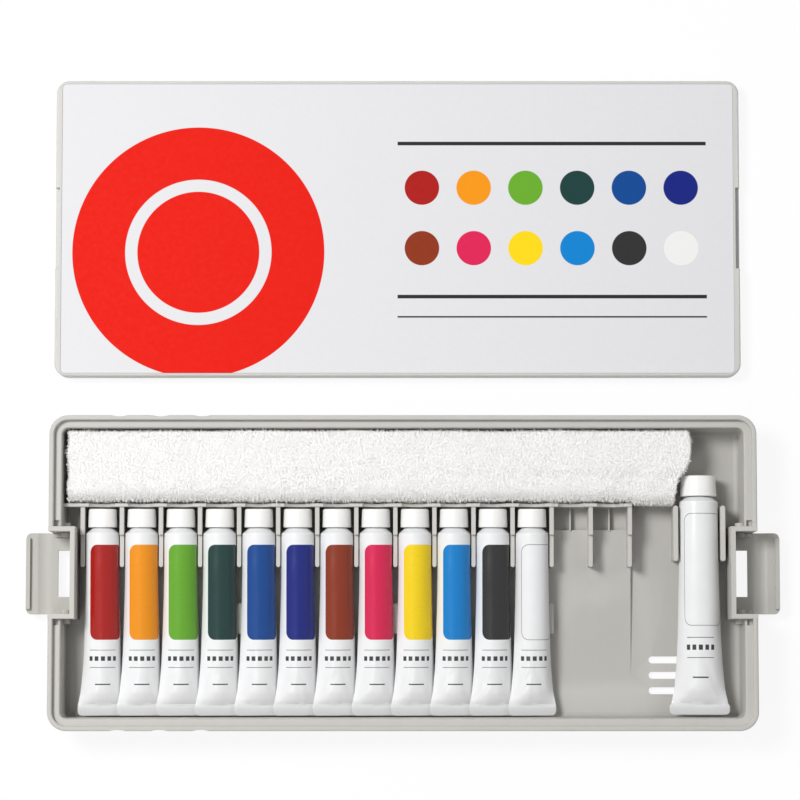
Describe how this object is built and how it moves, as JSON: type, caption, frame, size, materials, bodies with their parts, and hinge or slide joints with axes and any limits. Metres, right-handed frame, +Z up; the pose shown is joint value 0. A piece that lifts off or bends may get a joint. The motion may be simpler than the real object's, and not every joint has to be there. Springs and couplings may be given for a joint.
{
  "type": "gouache paint box",
  "caption": "Open plastic paint box with end latches, a lift-off lid, a folded terry towel and a rack of paint tubes.",
  "frame": {"origin": "middle of the tray's base, on the table", "axes": "+X along the tray to the right, +Y across it towards the lid, +Z up"},
  "size_m": [0.3674, 0.3196, 0.027],
  "materials": {
    "tray_plastic": "satin",
    "lid_plastic": "satin",
    "card": "satin",
    "terry": "matte",
    "sleeve": "gloss",
    "cap_plastic": "satin",
    "carmine_paint": "matte",
    "deep_yellow_paint": "matte",
    "light_green_paint": "matte",
    "viridian_paint": "matte",
    "ultramarine_paint": "matte",
    "violet_paint": "matte",
    "burnt_sienna_paint": "matte",
    "magenta_paint": "matte",
    "yellow_paint": "matte",
    "cyan_paint": "matte",
    "black_paint": "matte",
    "white_paint": "matte",
    "large_white_paint": "matte"
  },
  "bodies": {
    "tray": {"tray": "tray_plastic"},
    "left_latch": {"latch_left": "tray_plastic"},
    "right_latch": {"latch_right": "tray_plastic"},
    "lid": {"lid_shell": "lid_plastic", "lid_card": "card"},
    "towel": {"towel": "terry"},
    "carmine_tube": {"tube_carmine": "sleeve", "paint_carmine": "carmine_paint"},
    "carmine_cap": {"cap_carmine": "cap_plastic"},
    "deep_yellow_tube": {"tube_deep_yellow": "sleeve", "paint_deep_yellow": "deep_yellow_paint"},
    "deep_yellow_cap": {"cap_deep_yellow": "cap_plastic"},
    "light_green_tube": {"tube_light_green": "sleeve", "paint_light_green": "light_green_paint"},
    "light_green_cap": {"cap_light_green": "cap_plastic"},
    "viridian_tube": {"tube_viridian": "sleeve", "paint_viridian": "viridian_paint"},
    "viridian_cap": {"cap_viridian": "cap_plastic"},
    "ultramarine_tube": {"tube_ultramarine": "sleeve", "paint_ultramarine": "ultramarine_paint"},
    "ultramarine_cap": {"cap_ultramarine": "cap_plastic"},
    "violet_tube": {"tube_violet": "sleeve", "paint_violet": "violet_paint"},
    "violet_cap": {"cap_violet": "cap_plastic"},
    "burnt_sienna_tube": {"tube_burnt_sienna": "sleeve", "paint_burnt_sienna": "burnt_sienna_paint"},
    "burnt_sienna_cap": {"cap_burnt_sienna": "cap_plastic"},
    "magenta_tube": {"tube_magenta": "sleeve", "paint_magenta": "magenta_paint"},
    "magenta_cap": {"cap_magenta": "cap_plastic"},
    "yellow_tube": {"tube_yellow": "sleeve", "paint_yellow": "yellow_paint"},
    "yellow_cap": {"cap_yellow": "cap_plastic"},
    "cyan_tube": {"tube_cyan": "sleeve", "paint_cyan": "cyan_paint"},
    "cyan_cap": {"cap_cyan": "cap_plastic"},
    "black_tube": {"tube_black": "sleeve", "paint_black": "black_paint"},
    "black_cap": {"cap_black": "cap_plastic"},
    "white_tube": {"tube_white": "sleeve", "paint_white": "white_paint"},
    "white_cap": {"cap_white": "cap_plastic"},
    "large_white_tube": {"tube_large_white": "sleeve", "paint_large_white": "large_white_paint"},
    "large_white_cap": {"cap_large_white": "cap_plastic"}
  },
  "joints": [
    {"name": "left_latch_swing", "type": "hinge", "parent": "tray", "child": "left_latch", "pos_m": [-0.1642, 0, 0.0125], "axis": [0, 1, 0], "range_deg": [0, 90]},
    {"name": "right_latch_swing", "type": "hinge", "parent": "tray", "child": "right_latch", "pos_m": [0.1642, 0, 0.0125], "axis": [0, -1, 0], "range_deg": [0, 90]},
    {"name": "lid_lift", "type": "slide", "parent": "tray", "child": "lid", "axis": [0, 0, 1], "range_m": [0, 0.08]},
    {"name": "towel_lift", "type": "slide", "parent": "tray", "child": "towel", "axis": [0, 0, 1], "range_m": [0, 0.06]},
    {"name": "carmine_tube_lift", "type": "slide", "parent": "tray", "child": "carmine_tube", "axis": [0, 0, 1], "range_m": [0, 0.006]},
    {"name": "carmine_cap_turn", "type": "hinge", "parent": "carmine_tube", "child": "carmine_cap", "pos_m": [-0.14615, 0.01896, 0.01315], "axis": [0, 0.9991, 0.0424], "range_deg": [0, 540]},
    {"name": "deep_yellow_tube_lift", "type": "slide", "parent": "tray", "child": "deep_yellow_tube", "axis": [0, 0, 1], "range_m": [0, 0.012]},
    {"name": "deep_yellow_cap_turn", "type": "hinge", "parent": "deep_yellow_tube", "child": "deep_yellow_cap", "pos_m": [-0.12715, 0.01896, 0.01315], "axis": [0, 0.9991, 0.0424], "range_deg": [0, 540]},
    {"name": "light_green_tube_lift", "type": "slide", "parent": "tray", "child": "light_green_tube", "axis": [0, 0, 1], "range_m": [0, 0.018]},
    {"name": "light_green_cap_turn", "type": "hinge", "parent": "light_green_tube", "child": "light_green_cap", "pos_m": [-0.10815, 0.01896, 0.01315], "axis": [0, 0.9991, 0.0424], "range_deg": [0, 540]},
    {"name": "viridian_tube_lift", "type": "slide", "parent": "tray", "child": "viridian_tube", "axis": [0, 0, 1], "range_m": [0, 0.024]},
    {"name": "viridian_cap_turn", "type": "hinge", "parent": "viridian_tube", "child": "viridian_cap", "pos_m": [-0.08915, 0.01896, 0.01315], "axis": [0, 0.9991, 0.0424], "range_deg": [0, 540]},
    {"name": "ultramarine_tube_lift", "type": "slide", "parent": "tray", "child": "ultramarine_tube", "axis": [0, 0, 1], "range_m": [0, 0.03]},
    {"name": "ultramarine_cap_turn", "type": "hinge", "parent": "ultramarine_tube", "child": "ultramarine_cap", "pos_m": [-0.07015, 0.01896, 0.01315], "axis": [0, 0.9991, 0.0424], "range_deg": [0, 540]},
    {"name": "violet_tube_lift", "type": "slide", "parent": "tray", "child": "violet_tube", "axis": [0, 0, 1], "range_m": [0, 0.036]},
    {"name": "violet_cap_turn", "type": "hinge", "parent": "violet_tube", "child": "violet_cap", "pos_m": [-0.05115, 0.01896, 0.01315], "axis": [0, 0.9991, 0.0424], "range_deg": [0, 540]},
    {"name": "burnt_sienna_tube_lift", "type": "slide", "parent": "tray", "child": "burnt_sienna_tube", "axis": [0, 0, 1], "range_m": [0, 0.042]},
    {"name": "burnt_sienna_cap_turn", "type": "hinge", "parent": "burnt_sienna_tube", "child": "burnt_sienna_cap", "pos_m": [-0.03215, 0.01896, 0.01315], "axis": [0, 0.9991, 0.0424], "range_deg": [0, 540]},
    {"name": "magenta_tube_lift", "type": "slide", "parent": "tray", "child": "magenta_tube", "axis": [0, 0, 1], "range_m": [0, 0.048]},
    {"name": "magenta_cap_turn", "type": "hinge", "parent": "magenta_tube", "child": "magenta_cap", "pos_m": [-0.01315, 0.01896, 0.01315], "axis": [0, 0.9991, 0.0424], "range_deg": [0, 540]},
    {"name": "yellow_tube_lift", "type": "slide", "parent": "tray", "child": "yellow_tube", "axis": [0, 0, 1], "range_m": [0, 0.054]},
    {"name": "yellow_cap_turn", "type": "hinge", "parent": "yellow_tube", "child": "yellow_cap", "pos_m": [0.00585, 0.01896, 0.01315], "axis": [0, 0.9991, 0.0424], "range_deg": [0, 540]},
    {"name": "cyan_tube_lift", "type": "slide", "parent": "tray", "child": "cyan_tube", "axis": [0, 0, 1], "range_m": [0, 0.06]},
    {"name": "cyan_cap_turn", "type": "hinge", "parent": "cyan_tube", "child": "cyan_cap", "pos_m": [0.02485, 0.01896, 0.01315], "axis": [0, 0.9991, 0.0424], "range_deg": [0, 540]},
    {"name": "black_tube_lift", "type": "slide", "parent": "tray", "child": "black_tube", "axis": [0, 0, 1], "range_m": [0, 0.066]},
    {"name": "black_cap_turn", "type": "hinge", "parent": "black_tube", "child": "black_cap", "pos_m": [0.04385, 0.01896, 0.01315], "axis": [0, 0.9991, 0.0424], "range_deg": [0, 540]},
    {"name": "white_tube_lift", "type": "slide", "parent": "tray", "child": "white_tube", "axis": [0, 0, 1], "range_m": [0, 0.072]},
    {"name": "white_cap_turn", "type": "hinge", "parent": "white_tube", "child": "white_cap", "pos_m": [0.06285, 0.01896, 0.01315], "axis": [0, 0.9991, 0.0424], "range_deg": [0, 540]},
    {"name": "large_white_tube_lift", "type": "slide", "parent": "tray", "child": "large_white_tube", "axis": [0, 0, 1], "range_m": [0, 0.06]},
    {"name": "large_white_cap_turn", "type": "hinge", "parent": "large_white_tube", "child": "large_white_cap", "pos_m": [0.14405, 0.03384, 0.01175], "axis": [0, 1, 0], "range_deg": [0, 540]}
  ],
  "couplings": [
    {"joint": "carmine_tube_lift", "follows": "white_tube_lift", "ratio": 0.083333},
    {"joint": "deep_yellow_tube_lift", "follows": "white_tube_lift", "ratio": 0.16667},
    {"joint": "light_green_tube_lift", "follows": "white_tube_lift", "ratio": 0.25},
    {"joint": "viridian_tube_lift", "follows": "white_tube_lift", "ratio": 0.33333},
    {"joint": "ultramarine_tube_lift", "follows": "white_tube_lift", "ratio": 0.41667},
    {"joint": "violet_tube_lift", "follows": "white_tube_lift", "ratio": 0.5},
    {"joint": "burnt_sienna_tube_lift", "follows": "white_tube_lift", "ratio": 0.58333},
    {"joint": "magenta_tube_lift", "follows": "white_tube_lift", "ratio": 0.66667},
    {"joint": "yellow_tube_lift", "follows": "white_tube_lift", "ratio": 0.75},
    {"joint": "cyan_tube_lift", "follows": "white_tube_lift", "ratio": 0.83333},
    {"joint": "black_tube_lift", "follows": "white_tube_lift", "ratio": 0.91667}
  ]
}
